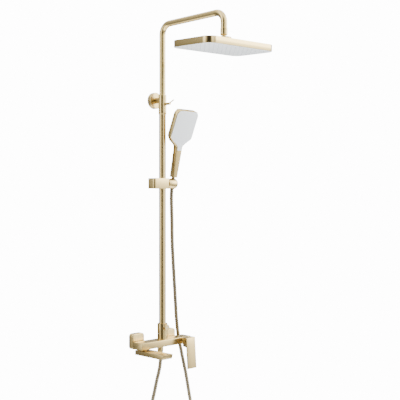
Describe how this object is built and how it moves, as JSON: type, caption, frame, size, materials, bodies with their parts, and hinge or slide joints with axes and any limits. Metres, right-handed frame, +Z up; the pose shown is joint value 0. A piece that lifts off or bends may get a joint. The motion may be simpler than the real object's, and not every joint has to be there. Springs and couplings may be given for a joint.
{
  "type": "rainfall shower column",
  "caption": "Wall shower column in brushed gold: flat bar bath mixer, telescopic riser, wide overhead head on a bent arm, slider with handset and hose.",
  "frame": {"origin": "midway between the hot and cold inlets, on the finished wall's face", "axes": "+Z up along the riser, +Y into the wall along the inlets, +X to the user's right"},
  "size_m": [0.3208, 0.4576, 1.574],
  "materials": {
    "brushed_gold": "brushed and lacquered, satin",
    "gold_plated_abs": "plated to match the brass, satin",
    "gold_shadow": "dark plated brass, satin",
    "raw_brass": "machined",
    "white_abs": "semi-gloss white",
    "nozzle_silicone": "matt, pale bluish white",
    "seal_rubber": "matt black",
    "acetal": "natural, satin",
    "steel": "turned stainless",
    "hose_spiral": "spiral-wound, dark gold"
  },
  "bodies": {
    "root": {"mixer_body": "brushed_gold", "hot_union": "raw_brass", "cold_union": "raw_brass", "hot_union_nut": "raw_brass", "cold_union_nut": "raw_brass", "union_washers": "seal_rubber", "hot_escutcheon": "brushed_gold", "cold_escutcheon": "brushed_gold", "cartridge": "acetal", "cartridge_cap": "brushed_gold", "spout_post": "raw_brass", "spout_o_rings": "seal_rubber", "hose_outlet": "raw_brass", "check_valve": "acetal", "hose_washer": "seal_rubber", "hose_nut": "brushed_gold", "hose": "hose_spiral", "diverter_housing": "brushed_gold", "diverter_sleeve": "acetal", "lower_tube": "brushed_gold", "riser_sleeve": "brushed_gold", "riser_seals": "seal_rubber", "rose_plate": "steel", "wall_rose": "brushed_gold", "rose_stem": "brushed_gold", "wall_screws": "steel", "stem_grub_screw": "steel"},
    "lever_stem": {"cartridge_stem": "steel"},
    "lever": {"mixer_lever": "brushed_gold", "lever_grub_screw": "steel"},
    "bath_spout": {"spout": "brushed_gold", "aerator": "gold_shadow"},
    "diverter": {"diverter_spindle": "steel", "diverter_knob": "brushed_gold", "diverter_knob_screw": "steel"},
    "height_lock": {"lock_lever": "brushed_gold"},
    "tube_foot": {"guide_bush": "acetal"},
    "arm": {"upper_tube": "brushed_gold", "ball_stub": "brushed_gold", "stub_washer": "seal_rubber"},
    "head_seat": {"ball_seat": "acetal"},
    "head": {"head_flange": "brushed_gold", "head_shell": "brushed_gold", "head_gasket": "seal_rubber", "head_face_plate": "white_abs", "head_nozzle_mat": "nozzle_silicone"},
    "slider": {"slider_block": "gold_plated_abs", "slider_bush": "acetal", "slider_screw": "steel", "cradle_bolt": "steel", "cradle_washer": "seal_rubber"},
    "cradle": {"cradle": "gold_plated_abs"},
    "handset": {"handset_shell": "gold_plated_abs", "handset_face": "white_abs", "handset_nozzle_mat": "nozzle_silicone", "handset_waterway": "acetal", "handset_connector": "gold_shadow", "handset_washer": "seal_rubber", "hose_cone_nut": "gold_shadow"}
  },
  "joints": [
    {"name": "temperature_turn", "type": "hinge", "parent": "root", "child": "lever_stem", "pos_m": [0.1, -0.078, -0.0115], "axis": [0, 1, 0], "range_deg": [-45, 45]},
    {"name": "flow_lift", "type": "hinge", "parent": "lever_stem", "child": "lever", "pos_m": [0.1, -0.078, -0.0115], "axis": [1, 0, 0], "range_deg": [-25, 0]},
    {"name": "spout_swivel", "type": "hinge", "parent": "root", "child": "bath_spout", "pos_m": [-0.075, -0.048, -0.03], "axis": [0, 0, 1], "range_deg": [-60, 20]},
    {"name": "diverter_turn", "type": "hinge", "parent": "root", "child": "diverter", "pos_m": [0.013, -0.066, 0.044], "axis": [0, 1, 0], "range_deg": [-90, 90]},
    {"name": "height_lock_turn", "type": "hinge", "parent": "root", "child": "height_lock", "pos_m": [0.013, -0.062, 0.837], "axis": [0, 1, 0], "range_deg": [-120, 0]},
    {"name": "riser_height", "type": "slide", "parent": "root", "child": "tube_foot", "axis": [0, 0, 1], "range_m": [-0.12, 0.08]},
    {"name": "arm_swivel", "type": "hinge", "parent": "tube_foot", "child": "arm", "pos_m": [0.013, -0.048, 0.9], "axis": [0, 0, 1], "range_deg": [-45, 45]},
    {"name": "head_pitch", "type": "hinge", "parent": "arm", "child": "head_seat", "pos_m": [0.013, -0.348, 1.024], "axis": [1, 0, 0], "range_deg": [-10, 10]},
    {"name": "head_roll", "type": "hinge", "parent": "head_seat", "child": "head", "pos_m": [0.013, -0.348, 1.024], "axis": [0, 1, 0], "range_deg": [-10, 10]},
    {"name": "slider_height", "type": "slide", "parent": "root", "child": "slider", "axis": [0, 0, 1], "range_m": [-0.35, 0.03], "deforming": ["hose"]},
    {"name": "cradle_tilt", "type": "hinge", "parent": "slider", "child": "cradle", "pos_m": [0.0335, -0.048, 0.555], "axis": [1, 0, 0], "range_deg": [0, 40]},
    {"name": "handset_lift", "type": "slide", "parent": "cradle", "child": "handset", "axis": [0, -0.1994, 0.9799], "range_m": [0, 0.06]}
  ]
}
